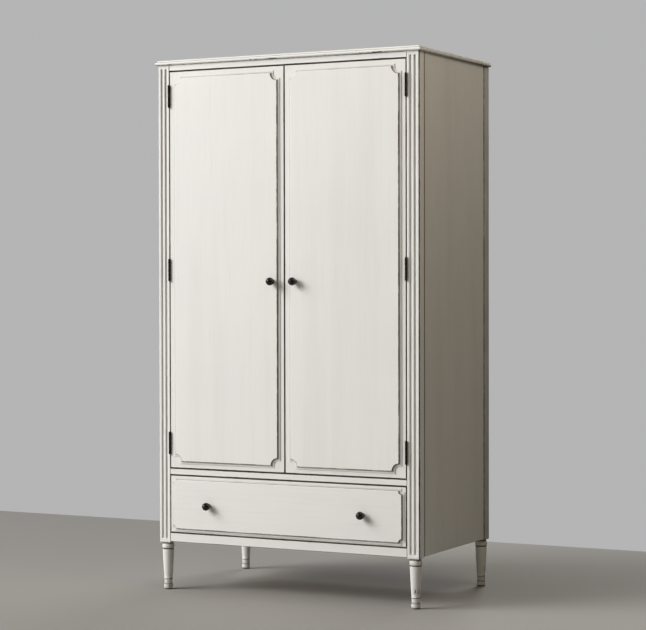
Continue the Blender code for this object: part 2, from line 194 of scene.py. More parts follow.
def face_out(obj):
    with editing(obj):
        bpy.ops.mesh.select_all(action="SELECT")
        bpy.ops.mesh.remove_doubles(threshold=TOUCHING)
        bpy.ops.mesh.normals_make_consistent(inside=False)


def smooth(obj, angle):
    only(obj)
    bpy.ops.object.shade_smooth_by_angle(angle=math.radians(angle))


def turned(name, profile, sides=48, fill="NGON", angle=40):
    """A turned piece on the Z axis: (radius, height) from its bottom to its top."""
    bpy.ops.object.select_all(action="DESELECT")
    radius, height = profile[0]
    bpy.ops.mesh.primitive_circle_add(vertices=sides, radius=radius, fill_type=fill,
                                      location=(0, 0, height))
    piece = settle(bpy.context.object, name)
    with editing(piece):
        bpy.ops.mesh.select_all(action="SELECT")
        for wider, higher in profile[1:]:
            rise = (0, 0, higher - height)
            bpy.ops.mesh.extrude_region_move(TRANSFORM_OT_translate={"value": rise})
            bpy.ops.transform.resize(value=(wider / radius, wider / radius, 1),
                                     center_override=(0, 0, higher))
            radius, height = wider, higher
    face_out(piece)
    smooth(piece, angle)
    return piece


def tube(name, outer, inner, low, high, sides=32):
    """A short tube on the Z axis with softened rims."""
    rim = 0.0003
    return turned(name, [(inner, low), (outer - rim, low), (outer, low + rim), (outer, high - rim),
                         (outer - rim, high), (inner, high), (inner, low)], sides, "NOTHING", 50)


def mark(obj, name, rule):
    """Store a number at each vertex, such as how far the paint is rubbed there."""
    layer = obj.data.attributes.get(name) or obj.data.attributes.new(name, "FLOAT", "POINT")
    for vertex, value in zip(obj.data.vertices, layer.data):
        value.value = max(0.0, rule(vertex.co))


def edge_nearness(low, high, width, most=1.15):
    """A rule that is `most` on a block's edges and falls away to 0 at `width` from them."""
    def rule(point):
        gaps = sorted(min(point[i] - low[i], high[i] - point[i]) for i in range(3))
        return most * (1.0 - gaps[1] / width)
    return rule


# ---------------------------------------------------------------- materials


class Value:
    """A socket in a material, with arithmetic."""

    def __init__(self, finish, socket):
        self.finish = finish
        self.socket = socket

    def combine(self, operation, first, second):
        return self.finish.add("ShaderNodeMath", {"operation": operation}, {0: first, 1: second})

    def __add__(self, other):
        return self.combine("ADD", self, other)

    def __radd__(self, other):
        return self.combine("ADD", other, self)

    def __sub__(self, other):
        return self.combine("SUBTRACT", self, other)

    def __rsub__(self, other):
        return self.combine("SUBTRACT", other, self)

    def __mul__(self, other):
        return self.combine("MULTIPLY", self, other)

    def __rmul__(self, other):
        return self.combine("MULTIPLY", other, self)

    def between(self, low, high):
        """0 below `low`, 1 above `high`, smooth in between."""
        return self.finish.add("ShaderNodeMapRange", {"interpolation_type": "SMOOTHSTEP"},
                               {"Value": self, "From Min": low, "From Max": high})


class Finish:
    """One material: a Principled shader and the nodes that feed it."""

    def __init__(self, name, colour, roughness, constants=None):
        self.material = bpy.data.materials.new(name)
        self.material.use_nodes = True
        self.tree = self.material.node_tree
        self.shader = self.tree.nodes["Principled BSDF"]
        self.feed("Base Color", (*colour, 1.0))
        self.feed("Roughness", roughness)
        for socket, value in (constants or {}).items():
            self.feed(socket, value)
        self.place = self.add("ShaderNodeTexCoord", {}, {}, "Object")

    def add(self, kind, settings, sockets, output=0):
        """Any node: its type, its settings, and the values or links of its sockets."""
        node = self.tree.nodes.new(kind)
        for setting, value in settings.items():
            setattr(node, setting, value)
        for key, value in sockets.items():
            self.connect(node.inputs[key], value)
        return Value(self, node.outputs[output])

    def connect(self, socket, value):
        if isinstance(value, Value):
            self.tree.links.new(value.socket, socket)
        else:
            socket.default_value = value

    def feed(self, socket, value):
        self.connect(self.shader.inputs[socket], value)

    def stretched(self, scale, shift=(0, 0, 0)):
        return self.add("ShaderNodeMapping", {}, {
            "Vector": self.place, "Scale": scale, "Location": shift})

    def noise(self, scale, detail=3.0, roughness=0.5, shift=(0, 0, 0)):
        """Noise over object coordinates, with its own scale along each axis."""
        return self.add("ShaderNodeTexNoise", {}, {
            "Vector": self.stretched(scale, shift), "Scale": 1.0, "Detail": detail,
            "Roughness": roughness}, "Fac")

    def attribute(self, name):
        return self.add("ShaderNodeAttribute", {"attribute_name": name}, {}, "Fac")

    def mix(self, factor, first, second):
        """Two colours mixed: each a colour or a colour link."""
        colours = [value if isinstance(value, Value) else (*value, 1.0)
                   for value in (first, second)]
        return self.add("ShaderNodeMix", {"data_type": "RGBA"},
                        {0: factor, 6: colours[0], 7: colours[1]}, 2)

    def bump(self, height, distance, strength=1.0):
        self.feed("Normal", self.add("ShaderNodeBump", {}, {
            "Height": height, "Distance": distance, "Strength": strength}))


def along(axis, fine, long):
    """A texture scale that is fine across an axis and drawn out along it."""
    return tuple(long if i == axis else fine for i in range(3))


PLAIN_PAINT = (0.83, 0.81, 0.77)
CREAM, CREAM_SHADE = (0.86, 0.847, 0.815), (0.835, 0.826, 0.80)
AGED_BAND = (0.74, 0.72, 0.665)
BRUSH_STREAK, WIDE_STREAK = (0.62, 0.59, 0.52), (0.66, 0.63, 0.56)
DARK_GLAZE_AND_SHADE = (0.085, 0.067, 0.038)
RUBBED_WOOD_AND_SHADE = (0.075, 0.05, 0.03)


def antique_paint(name, axis):
    """Brushed off-white paint, glazed in its hollows and rubbed to brown wood at its edges; the
    glazing and the rubbed brown also carry painted shade.
    """
    paint = Finish(name, PLAIN_PAINT, 0.5, {"Specular IOR Level": 0.35})
    strokes = paint.noise(along(axis, 420, 5), 2.0)
    broad_strokes = paint.noise(along(axis, 95, 1.6), 3.0, shift=(3.1, 1.7, 0.4))
    clouds = paint.noise((2.6, 2.6, 2.6), 2.0)
    bands = paint.noise(along(axis, 13, 0.9), 2.0, shift=(0.7, 4.1, 0.2))
    chips = paint.noise(along(axis, 260, 60), 4.0, 0.6, shift=(0.3, 0.9, 2.2))
    patches = paint.noise(along(axis, 24, 11), 3.0, 0.6, shift=(5.3, 0.1, 1.1))
    rub, glaze = paint.attribute("rub"), paint.attribute("glaze")
    colour = paint.mix(clouds.between(0.35, 0.7), CREAM, CREAM_SHADE)
    colour = paint.mix(bands.between(0.45, 0.72) * 0.24, colour, AGED_BAND)
    colour = paint.mix(strokes.between(0.50, 0.78) * 0.17, colour, BRUSH_STREAK)
    colour = paint.mix(broad_strokes.between(0.5, 0.8) * 0.08, colour, WIDE_STREAK)
    # The dark glazing also paints shade: in the gaps round the doors and drawer, in the flutes and
    # panel mouldings, on the rear posts' outer faces, along the top's edges and on the legs.
    glazed_and_shaded = paint.mix(glaze * (0.3 + patches * 0.75 + bands * 0.45), colour, DARK_GLAZE_AND_SHADE)
    # The rubbed brown (worn) also paints shade along the raised panels' right and lower edges and
    # under the top's lower edge.
    worn = (rub + (chips - 0.5) * 0.9 + (patches - 0.5) * 1.1).between(0.84, 0.98)
    paint.feed("Base Color", paint.mix(worn, glazed_and_shaded, RUBBED_WOOD_AND_SHADE))
    paint.feed("Roughness", 0.46 + strokes * 0.14 + worn * 0.15)
    paint.bump(strokes * 0.5 + broad_strokes * 0.5 - worn * 0.9, 0.00018)
    return paint.material


PLAIN_TIMBER = (0.5, 0.36, 0.22)
TIMBER_LIGHT, TIMBER_DARK = (0.62, 0.455, 0.285), (0.52, 0.365, 0.215)
RING_BROWN, LINE_BROWN, PORE_BROWN = (0.40, 0.26, 0.14), (0.34, 0.215, 0.115), (0.20, 0.12, 0.065)


def sealed_wood(name, axis):
    """Clear-sealed timber: drawn-out growth rings, fine dark lines and short open pores."""
    wood = Finish(name, PLAIN_TIMBER, 0.5)
    tone = wood.noise(along(axis, 5, 0.6), 2.0)
    rings = wood.add("ShaderNodeTexWave", {"wave_type": "BANDS", "bands_direction": "DIAGONAL"}, {
        "Vector": wood.stretched(along(axis, 16, 0.55)), "Scale": 1.0, "Distortion": 9.0,
        "Detail": 3.0, "Detail Scale": 1.1, "Detail Roughness": 0.6}, "Fac")
    lines = wood.noise(along(axis, 150, 1.5), 3.0, 0.55, shift=(1.3, 2.9, 0.8))
    pores = wood.noise(along(axis, 900, 26), 2.0, shift=(4.2, 0.6, 3.5))
    open_pores = pores.between(0.58, 0.72)
    colour = wood.mix(tone.between(0.3, 0.7), TIMBER_LIGHT, TIMBER_DARK)
    colour = wood.mix(rings.between(0.25, 1.0) * 0.55, colour, RING_BROWN)
    colour = wood.mix(lines.between(0.5, 0.72) * 0.5, colour, LINE_BROWN)
    wood.feed("Base Color", wood.mix(open_pores * 0.55, colour, PORE_BROWN))
    wood.feed("Roughness", 0.38 + pores * 0.25)
    wood.bump(lines * 0.4 - open_pores, 0.00015, 0.7)
    return wood.material


BLACKENED, HAND_POLISHED = (0.006, 0.0055, 0.005), (0.06, 0.038, 0.024)
PLAIN_STEEL = (0.5, 0.49, 0.47)
STEEL_DARK, STEEL_LIGHT = (0.46, 0.45, 0.43), (0.58, 0.57, 0.55)


def blackened_metal(name, roughness, shine):
    """Blackened metal with a browner shine where hands polish it."""
    metal = Finish(name, BLACKENED, 0.2, {"Metallic": 0.1, "Specular IOR Level": shine})
    mottle = metal.noise((140, 140, 140), 4.0, 0.6)
    polish = metal.attribute("rub") * mottle.between(0.4, 0.72)
    metal.feed("Base Color", metal.mix(polish * 0.3, BLACKENED, HAND_POLISHED))
    metal.feed("Roughness", roughness + mottle * 0.22)
    metal.bump(mottle, 0.00006)
    return metal.material


def brushed_steel(name, axis):
    """Steel with fine rings brushed round its length."""
    steel = Finish(name, PLAIN_STEEL, 0.3, {"Metallic": 1.0})
    grain = steel.noise(along(axis, 18, 900), 2.0)
    steel.feed("Base Color", steel.mix(grain, STEEL_DARK, STEEL_LIGHT))
    steel.feed("Roughness", 0.24 + grain * 0.16)
    steel.bump(grain, 0.00003)
    return steel.material


UPRIGHT_PAINT = antique_paint("antique_paint_upright", Z)
LEVEL_PAINT = antique_paint("antique_paint_level", X)
WOOD = {axis: sealed_wood(f"sealed_wood_{'xyz'[axis]}", axis) for axis in (X, Y, Z)}
WAXED_BLACK = blackened_metal("waxed_black_knobs", 0.05, 0.5)
MATT_BLACK = blackened_metal("matt_black_fittings", 0.34, 0.22)
ROD_STEEL = brushed_steel("brushed_steel", X)


def hand_over(piece, material, body, node):
    """Give a finished piece its material, its body, and the node that it stands for."""
    piece.data.materials.clear()
    piece.data.materials.append(material)
    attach(piece, body)
    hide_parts(node)


def finish_painted(piece, material, body, node, rub, glaze, angle=30):
    """Mark where the paint is rubbed and glazed and where shade is painted, smooth the piece and
    hand it over.
    """
    mark(piece, "rub", rub)
    mark(piece, "glaze", glaze)
    smooth(piece, angle)
    hand_over(piece, material, body, node)


# ---------------------------------------------------------------- boards and posts
RUB_WIDTH = 0.0045          # how far the rubbing reaches in from an edge
ARRIS_LINE = 0.0022         # a cut just past an eased edge
GAP_SHADE_WIDTH = 0.0019        # how far the glazing and the painted gap shade reach on to a front
GAP_SHADE_DEEP, GAP_SHADE_GONE = 0.0050, 0.0110     # where the painted gap shade begins and ends to fade, going back
BOARD_EASE, FRONT_EASE = 0.0009, 0.0012
SIDE_EASE = 0.0006


def score_margins(obj, low, high, width=RUB_WIDTH):
    for axis in range(3):
        if high[axis] - low[axis] > 3 * width:
            score(obj, axis, (low[axis] + width, high[axis] - width))


def painted_board(node, body, material, width=BOARD_EASE, suffix="board", glaze=None, most=1.15):
    """A board rubbed along its edges; without a given rule its arrises are glazed and its edge
    faces along the gaps get painted shade.
    """
    low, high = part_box(node)
    piece = block(f"{node}_{suffix}", low, high)
    ease(piece, width)
    score_margins(piece, low, high)
    score(piece, Y, (low.y + ARRIS_LINE, high.y - ARRIS_LINE))
    if glaze is None:
        score(piece, Y, (low.y + GAP_SHADE_DEEP, low.y + GAP_SHADE_GONE))
        score_margins(piece, low, high, GAP_SHADE_WIDTH)
        glaze = glazed_and_gap_shaded_edges(low, high, plain_top=node == "top_front_rail")
    finish_painted(piece, material, body, node, edge_nearness(low, high, RUB_WIDTH, most), glaze)


def glazed_and_gap_shaded_edges(low, high, plain_top):
    """A rule that glazes a front's arrises and paints shade on its edge faces in the gaps, darkest
    near the front and fading going back.
    """
    arris = 0.0013

    # Edge faces along the gaps are darkened as painted shade; the arrises carry glazing and painted
    # shade.
    def rule(point):
        gap = min(point.x - low.x, high.x - point.x, point.z - low.z, high.z - point.z)
        if point.y > high.y - 0.002 or gap > arris or plain_top and point.z > high.z - arris:
            return 0.0
        return 1.0 if gap > 0.0005 else 1.5 if point.y < low.y + 0.0060 else 0.3
    return rule


def unglazed(point):
    return 0.0


def make_boards():
    """The rails, rear posts and back, and the plain slabs of the doors and the drawer."""
    # Painted shade: the rear posts' outer side faces are darkened.
    def shaded_outer_face(point):
        return 0.44 if HALF_WIDTH - abs(point.x) < 2 * ON_FACE else 0.0

    for node in ("top_front_rail", "middle_front_rail", "bottom_front_rail"):
        painted_board(node, "carcass", LEVEL_PAINT)
    for side, _ in SIDES:
        painted_board(f"rear_{side}_post", "carcass", UPRIGHT_PAINT, glaze=shaded_outer_face, most=1.3)
    painted_board("back_panel", "carcass", UPRIGHT_PAINT, glaze=unglazed)
    for side, _ in SIDES:
        painted_board(f"{side}_door", f"{side}_door", UPRIGHT_PAINT, FRONT_EASE, "slab")
    painted_board("drawer_front", "drawer", LEVEL_PAINT, FRONT_EASE, "slab")


def make_side_panels():
    """Flat side panels with a narrow, glazed shadow groove along each post."""
    groove_width, groove_depth, spare = 0.0025, 0.004, 0.001
    for side, sign in SIDES:
        node = f"{side}_side_panel"
        low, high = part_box(node)
        piece = block(f"{node}_flat", low, high)
        outer = high.x if sign > 0 else low.x
        across = sorted((outer - sign * groove_depth, outer + sign * spare))
        carve(piece, [block("groove", (across[0], start, low.z - spare),
                            (across[1], end, high.z + spare))
                      for start, end in ((low.y - spare, low.y + groove_width),
                                         (high.y - groove_width, high.y + spare))])
        ease_sharp(piece, SIDE_EASE)
        score(piece, Y, (low.y + groove_width + RUB_WIDTH, high.y - groove_width - RUB_WIDTH))
        score(piece, Z, (low.z + RUB_WIDTH, high.z - RUB_WIDTH))

        def past_groove(point):
            return min(point.y - low.y, high.y - point.y) - groove_width

        def rub(point):
            past = past_groove(point)
            return 1.05 * (1 - past / RUB_WIDTH) if past > -ON_FACE else 0.0

        def glaze(point):
            return 1.6 if past_groove(point) < 0.0007 else 0.09

        finish_painted(piece, UPRIGHT_PAINT, "carcass", node, rub, glaze)


FLUTE_INSETS = (0.0134, 0.0296)     # from the post's outer face to each flute's middle
FLUTE_RADIUS = 0.0046
FLUTE_DEPTH = 0.0042
FLUTE_STOP = 0.0125
LAND_LINE = 0.0035                  # cuts on the post's face beside its edges
CORNER_BARE, CORNER_FADE = 0.0055, 0.0090   # rubbed right through, then fading, round the corner


def flute_cutter(x, low, high):
    """A ball drawn out into a rod: it leaves a round-ended flute."""
    bpy.ops.object.select_all(action="DESELECT")
    middle_y = FRONT + FLUTE_DEPTH - FLUTE_RADIUS
    bpy.ops.mesh.primitive_uv_sphere_add(segments=32, ring_count=17, radius=FLUTE_RADIUS,
                                         location=(x, middle_y, low + FLUTE_RADIUS))
    cutter = settle(bpy.context.object, "flute")
    with editing(cutter):
        pick(cutter, "verts", lambda vert: vert.co.z > low + FLUTE_RADIUS)
        bpy.ops.transform.translate(value=(0, 0, high - low - 2 * FLUTE_RADIUS))
    return cutter


def make_front_posts():
    """Corner posts with two stopped flutes in the front face."""
    for side, sign in SIDES:
        node = f"front_{side}_post"
        low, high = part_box(node)
        piece = block(f"{node}_fluted", low, high)
        ease(piece, BOARD_EASE)
        centres = [sign * (HALF_WIDTH - inset) for inset in FLUTE_INSETS]
        carve(piece, [flute_cutter(x, low.z + FLUTE_STOP, high.z - FLUTE_STOP) for x in centres])
        ease_sharp(piece, 0.0004, 2, 38)
        score(piece, X, (low.x + LAND_LINE, high.x - LAND_LINE, sum(centres) / 2))
        score(piece, Y, (low.y + ARRIS_LINE, low.y + CORNER_BARE, low.y + CORNER_BARE + CORNER_FADE,
                         high.y - RUB_WIDTH))
        score(piece, Z, (low.z + RUB_WIDTH, high.z - RUB_WIDTH))
        near_edge = edge_nearness(low, high, 0.0070, 0.9)
        inner = low.x if sign > 0 else high.x

        def rub(point):
            back, from_outer = point.y - low.y, HALF_WIDTH - abs(point.x)
            if from_outer > 3 * ON_FACE and back < ON_FACE:
                return 0.9 * (1 - min(from_outer, abs(point.x - inner)) / LAND_LINE)
            if from_outer < 3 * ON_FACE and back < CORNER_BARE + CORNER_FADE + 5 * ON_FACE:
                return 1.4 if back < 0.0025 else 1.3 * (1 - (back - CORNER_BARE) / CORNER_FADE)
            return near_edge(point)

        # Painted shade on the inner faces along the door gaps; the flutes are glazed, partly as
        # painted shade.
        def glaze(point):
            back = point.y - low.y
            if abs(point.x - inner) < ON_FACE and back > 0.002:
                return 1.3 if back < 0.0060 else 0.3
            in_flute = min(abs(point.x - x) for x in centres) < FLUTE_RADIUS and back > 0.0008
            return 0.35 if in_flute else 0.0

        finish_painted(piece, UPRIGHT_PAINT, "carcass", node, rub, glaze)


def make_top_board():
    """The top board: a bullnose, a thin quirk and a rounded upper edge on three sides."""
    low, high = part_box("top_board")
    thick = high.z - low.z
    nose, nose_top = 0.0051, 0.0103
    profile = [(0.020, 0.0), (0.0068, 0.0)]
    for step in range(13):
        angle = math.radians(-90 + 165 * step / 12)
        profile.append((nose * (1 - math.cos(angle)), nose * (1 + math.sin(angle))))
    quirk, quirk_top = 0.0056, nose_top + 0.0012
    profile += [(0.0052, nose_top), (quirk, nose_top + 0.0002), (quirk, nose_top + 0.0010)]
    for step in range(8):
        angle = math.radians(90 * step / 7)
        profile.append((quirk + 0.0052 * (1 - math.cos(angle)),
                        quirk_top + (thick - quirk_top) * math.sin(angle)))
    profile += [(0.016, thick), (0.024, thick)]
    width, depth = high.x - low.x, high.y - low.y

    def size_at(inset):
        return width - 2 * inset, depth - inset

    inset, height = profile[0]
    across, deep = size_at(inset)
    piece = sheet("top_board_moulded", (0, high.y - deep / 2, low.z), across, deep)
    with editing(piece):
        bpy.ops.mesh.select_all(action="SELECT")
        for next_inset, next_height in profile[1:]:
            rise = (0, 0, next_height - height)
            bpy.ops.mesh.extrude_region_move(TRANSFORM_OT_translate={"value": rise})
            next_across, next_deep = size_at(next_inset)
            bpy.ops.transform.resize(value=(next_across / across, next_deep / deep, 1),
                                     center_override=(0, high.y, low.z))
            across, deep, height = next_across, next_deep, next_height
    face_out(piece)
    score(piece, X, (low.x + 0.02, high.x - 0.02))

    def gap(point):
        return min(point.x - low.x, high.x - point.x, point.y - low.y)

    # Glazing in the quirk, partly painted shade; on the side edges painted shade, darkest under the
    # nose and lighter towards the top.
    def glaze(point):
        up = point.z - low.z
        if gap(point) > 0.0070:
            return 0.0
        if nose_top - 0.0006 < up < nose_top + 0.0006:
            return 1.2
        on_side = min(point.x - low.x, high.x - point.x) < point.y - low.y
        return (0.9 if up < 0.0016 else 0.4 if up < nose_top else 0.12) if on_side else 0.0

    # Rubbed more along the lower edge, partly as painted shade under the top.
    def rub(point):
        if gap(point) > 0.0159:
            return 0.0
        return 0.78 if point.z - low.z < 0.003 else 0.62

    finish_painted(piece, LEVEL_PAINT, "carcass", "top_board", rub, glaze, 35)


# ---------------------------------------------------------------- raised panels
MOULDING = 0.009
PANEL_LIP = 0.0020
PANEL_HOLLOW_STEPS = 14
DOOR_SCOOP, DRAWER_SCOOP = 0.025, 0.0115


def panel_outline(name, centre, half, scoop, depth):
    """A flat sheet with square notches at its corners, their inner corners rounded."""
    piece = sheet(name, (centre.x, depth, centre.z), 2 * half[0], 2 * half[1], math.pi / 2)
    notch = (half[0] - scoop, half[1] - scoop)
    for axis, middle, reach in ((X, centre.x, notch[0]), (Z, centre.z, notch[1])):
        score(piece, axis, (middle - reach, middle + reach))
    with editing(piece):
        pick(piece, "faces", lambda face: abs(face.calc_center_median().x - centre.x) > notch[0] and
             abs(face.calc_center_median().z - centre.z) > notch[1])
        bpy.ops.mesh.delete(type="FACE")
        bpy.ops.mesh.select_all(action="SELECT")
        bpy.ops.mesh.dissolve_faces()
        pick(piece, "verts", lambda vert: abs(abs(vert.co.x - centre.x) - notch[0]) < ON_FACE and
             abs(abs(vert.co.z - centre.z) - notch[1]) < ON_FACE)
        bpy.ops.mesh.bevel(offset=scoop - MOULDING, offset_type="OFFSET",
                           segments=PANEL_HOLLOW_STEPS, profile=0.5, affect="VERTICES")
        pick(piece, "faces", lambda face: face.normal.y > 0)
        bpy.ops.mesh.flip_normals()
    return piece


def make_raised_panel(node, body, scoop, material):
    """An applied panel with hollow corners, a coved edge and a flat, softly worn field."""
    low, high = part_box(node)
    centre = (low + high) / 2
    half = ((high.x - low.x) / 2, (high.z - low.z) / 2)
    rise = high.y - low.y
    cove_top = PANEL_LIP + 0.0016
    lip_flat = 0.0012
    profile = [(0.0, PANEL_LIP - 0.0004), (0.0005, PANEL_LIP), (lip_flat, PANEL_LIP)]
    for i in range(1, 9):
        angle = math.radians(84 * i / 8)
        profile.append((lip_flat + 0.0060 * math.sin(angle),
                        PANEL_LIP + (cove_top - PANEL_LIP) * (1 - math.cos(angle))))
    profile += [(0.0076, cove_top + 0.0010), (0.0080, rise - 0.0010), (0.0083, rise - 0.0003),
                (MOULDING, rise), (MOULDING + 0.0024, rise)]
    piece = panel_outline(f"{node}_moulded", centre, half, scoop, high.y)
    with editing(piece):
        bpy.ops.mesh.select_mode(type="FACE")
        bpy.ops.mesh.select_all(action="SELECT")
        bpy.ops.mesh.extrude_region_move(TRANSFORM_OT_translate={"value": (0, -profile[0][1], 0)})
        inset, height = profile[0]
        for further, higher in profile[1:]:
            bpy.ops.mesh.inset(thickness=further - inset, depth=higher - height,
                               use_even_offset=True)
            inset, height = further, higher
    face_out(piece)

    def inset_of(point):
        """How far a point is from the panel's outline, notches included."""
        from_side, from_end = half[0] - abs(point.x - centre.x), half[1] - abs(point.z - centre.z)
        if from_side < MOULDING:
            from_notch = from_end - scoop
        elif from_end < MOULDING:
            from_notch = from_side - scoop
        else:
            from_notch = math.hypot(from_side - MOULDING, from_end - MOULDING) - (scoop - MOULDING)
        return min(from_side, from_end, from_notch)

    # The rubbed arris is heavier on the right and lower edges, which is painted shade there.
    def rub(point):
        inset = inset_of(point)
        if inset < 0.0074 or inset > MOULDING + 0.0005:
            return 0.0
        from_right, from_bottom = half[0] - (point.x - centre.x), half[1] + point.z - centre.z
        return 0.98 if from_right < scoop + inset or from_bottom < scoop else 0.6

    # Glazing darkest at the lip's foot and on the steep face below the field, lighter in the cove;
    # this is partly painted shade.
    def glaze(point):
        height = high.y - point.y
        if height < PANEL_LIP - 0.0006:
            return 1.0
        if height < PANEL_LIP + 0.0002:
            return 0.05
        return 0.95 if cove_top < height < rise - 0.0002 else 0.34 if height <= cove_top else 0.0

    finish_painted(piece, material, body, node, rub, glaze)


def make_raised_panels():
    for side, _ in SIDES:
        make_raised_panel(f"{side}_door_raised_panel", f"{side}_door", DOOR_SCOOP, UPRIGHT_PAINT)
    make_raised_panel("drawer_raised_panel", "drawer", DRAWER_SCOOP, LEVEL_PAINT)


# ---------------------------------------------------------------- turned legs and knobs
def within(height, bands):
    return any(low < height < high for low, high in bands)


def make_legs():
    """Turned legs: a round bead under the post, a long taper, an incised ring and a small foot."""
    low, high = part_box("front_left_leg")
    top = high.z
    foot = [(0.0120, 0.0), (0.0136, 0.0010), (0.0147, 0.0032), (0.0153, 0.0062),
            (0.0155, 0.0098), (0.0154, 0.0128), (0.0149, 0.0152), (0.0142, 0.0170),
            (0.0139, 0.0190), (0.0139, 0.0240), (0.0141, 0.0300), (0.0146, 0.0336)]
    ring = [(0.0147, 0.0346), (0.0133, 0.0352), (0.0133, 0.0362), (0.0149, 0.0369),
            (0.0152, 0.0380), (0.0149, 0.0392), (0.0145, 0.0400)]
    swell = 0.0004
    taper = [(0.0145 + 0.0055 * t + swell * math.sin(math.pi * t), 0.0400 + 0.1010 * t)
             for t in (i / 10 for i in range(1, 11))]
    bead = [(0.0199, 0.1418), (0.0190, 0.1424), (0.0187, 0.1434), (0.0192, 0.1446),
            (0.0204, 0.1456), (0.0211, 0.1470), (0.0214, 0.1488), (0.02145, 0.1505),
            (0.0213, 0.1530), (0.0209, 0.1556), (0.0203, 0.1580), (0.0196, 0.1600),
            (0.0189, 0.1614), (0.0183, 0.1622)]
    collar = [(0.0181, 0.1632), (0.0184, 0.1642), (0.0185, 0.1650), (0.0185, top - 0.0006),
              (0.0181, top)]
    profile = foot + ring + taper + bead + collar
    pattern = turned("turned_leg", profile, 64)

    crests = ((0.0075, 0.0135), (0.0365, 0.0395), (0.147, 0.155))
    hollows = ((0.0347, 0.0367), (0.1415, 0.1447), (0.1617, 0.1638))
    above_foot = ((0.0155, 0.0195),)

    def leg_rub(point):
        if within(point.z, crests):
            return 0.78
        return 0.74 if 0.04 < point.z < 0.075 else 0.5

    # Darker in the hollows and above the foot; painted shade at the top under the post and at the
    # floor.
    def leg_glaze_and_shade(point):
        if within(point.z, hollows):
            return 1.6
        if point.z < 0.0035:
            return 1.0
        if within(point.z, above_foot):
            return 0.75
        return 0.6 if point.z > 0.158 else 0.2 if point.z < 0.034 else 0.12

    mark(pattern, "rub", leg_rub)
    mark(pattern, "glaze", leg_glaze_and_shade)
    for end in ("front", "rear"):
        for side, _ in SIDES:
            node = f"{end}_{side}_leg"
            low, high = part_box(node)
            middle = (low + high) / 2
            leg = copy_to(pattern, f"{node}_turned", move=(middle.x, middle.y, 0))
            hand_over(leg, UPRIGHT_PAINT, "carcass", node)
    discard(pattern)


def make_knobs():
    """Round knobs: a dished foot, a slim neck and a slightly flattened ball."""
    reach = 0.033
    ball = 0.014
    seat = 0.0003
    profile = [(0.0084, seat), (0.0086, 0.0012), (0.0082, 0.0024), (0.0062, 0.0033),
               (0.0048, 0.0046), (0.0043, 0.0062), (0.0045, 0.0078)]
    start = math.degrees(math.asin(0.0052 / ball))
    for i in range(15):
        angle = math.radians(180 - start - (180 - start - 4) * i / 14)
        profile.append((ball * math.sin(angle), reach - ball + ball * math.cos(angle)))
    pattern = turned("knob", profile, 48)
    mark(pattern, "rub", lambda point: 1.0 if point.z > reach - 1.2 * ball else 0.0)
    pattern.rotation_euler = (math.pi / 2, 0, 0)
    settle(pattern, "knob")
    places = [(f"{side}_door_knob", f"{side}_door") for side, _ in SIDES]
    places += [(f"drawer_{side}_knob", "drawer") for side, _ in SIDES]
    for node, body in places:
        low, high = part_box(node)
        middle = (low + high) / 2
        knob = copy_to(pattern, f"{node}_round", move=(middle.x, PANEL_FACE, middle.z))
        hand_over(knob, WAXED_BLACK, body, node)
    discard(pattern)


# ---------------------------------------------------------------- hinges
HINGE_HEIGHT = 0.076
KNUCKLES = 5
BARREL = 0.0039
BORE = 0.0018


def screw_head(radius, proud):
    """A slotted screw head, facing +X, with its rim on x = 0."""
    head = turned("screw", [(radius, -0.0003), (radius, proud * 0.4), (radius * 0.86, proud)], 24)
    slot = block("slot", (-radius * 1.2, -0.0004, proud * 0.3),
                 (radius * 1.2, 0.0004, proud * 2))
    carve(head, [slot])
    head.rotation_euler = (0, math.pi / 2, 0)
    return settle(head, "screw")


def hinge_leaf(own):
    """A hinge leaf about its own axis: plate, every second knuckle and its screws."""
    near = 0.0045
    far = 0.0227
    inner, outer = (0.0002, 0.0012) if own == "frame" else (-0.0012, -0.0002)
    half = HINGE_HEIGHT / 2
    pitch = HINGE_HEIGHT / KNUCKLES
    plate = block("plate", (inner, near, -half), (outer, far, half))
    ease(plate, 0.00025, 1)
    parts = [plate]
    for i in range(0 if own == "frame" else 1, KNUCKLES, 2):
        low, high = -half + i * pitch + 0.0002, -half + (i + 1) * pitch - 0.0002
        parts.append(tube("knuckle", BARREL, BORE, low, high))
        parts.append(block("web", (inner, 0.0027, low + 0.0006),
                           (outer, near + 0.0002, high - 0.0006)))
    head = screw_head(0.0031, 0.00012)
    facing, surface = (math.pi, inner) if own == "frame" else (0.0, outer)
    for height, across in ((-0.026, 0.0105), (0.0, 0.0165), (0.026, 0.0105)):
        parts.append(copy_to(head, "screw", (0, 0, facing), (surface, across, height)))
    discard(head)
    return join(parts, f"{own}_leaf")


def make_hinges():
    """Butt hinges: both leaves, with softened knuckles, and a pin with button tips."""
    patterns = {own: hinge_leaf(own) for own in ("frame", "door")}
    half = HINGE_HEIGHT / 2
    tip = 0.0033
    pin_profile = [(tip * 0.55, -half - 0.0016), (tip * 0.9, -half - 0.0012), (tip, -half - 0.0006),
                   (tip, -half - 0.0003), (0.0015, -half - 0.0003), (0.0015, half + 0.0003),
                   (tip, half + 0.0003), (tip, half + 0.0006), (tip * 0.9, half + 0.0012),
                   (tip * 0.55, half + 0.0016)]
    patterns["pin"] = turned("pin", pin_profile, 32)
    for pattern in patterns.values():
        mark(pattern, "rub", lambda point: 0.5 if point.y < -0.002 else 0.0)
    for side, sign in SIDES:
        turn_over = (0, math.pi if sign < 0 else 0, 0)
        for level in ("lower", "middle", "upper"):
            prefix = f"{side}_{level}_hinge"
            low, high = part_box(f"{prefix}_pin")
            place = (HINGE_AXIS[side].x, HINGE_AXIS[side].y, (low.z + high.z) / 2)
            for own, pattern in patterns.items():
                node = f"{prefix}_{own}" + ("" if own == "pin" else "_leaf")
                body = f"{side}_door" if own == "door" else "carcass"
                piece = copy_to(pattern, f"{node}_black", turn_over, place)
                hand_over(piece, MATT_BLACK, body, node)
    for pattern in patterns.values():
        discard(pattern)


# ---------------------------------------------------------------- inside pieces


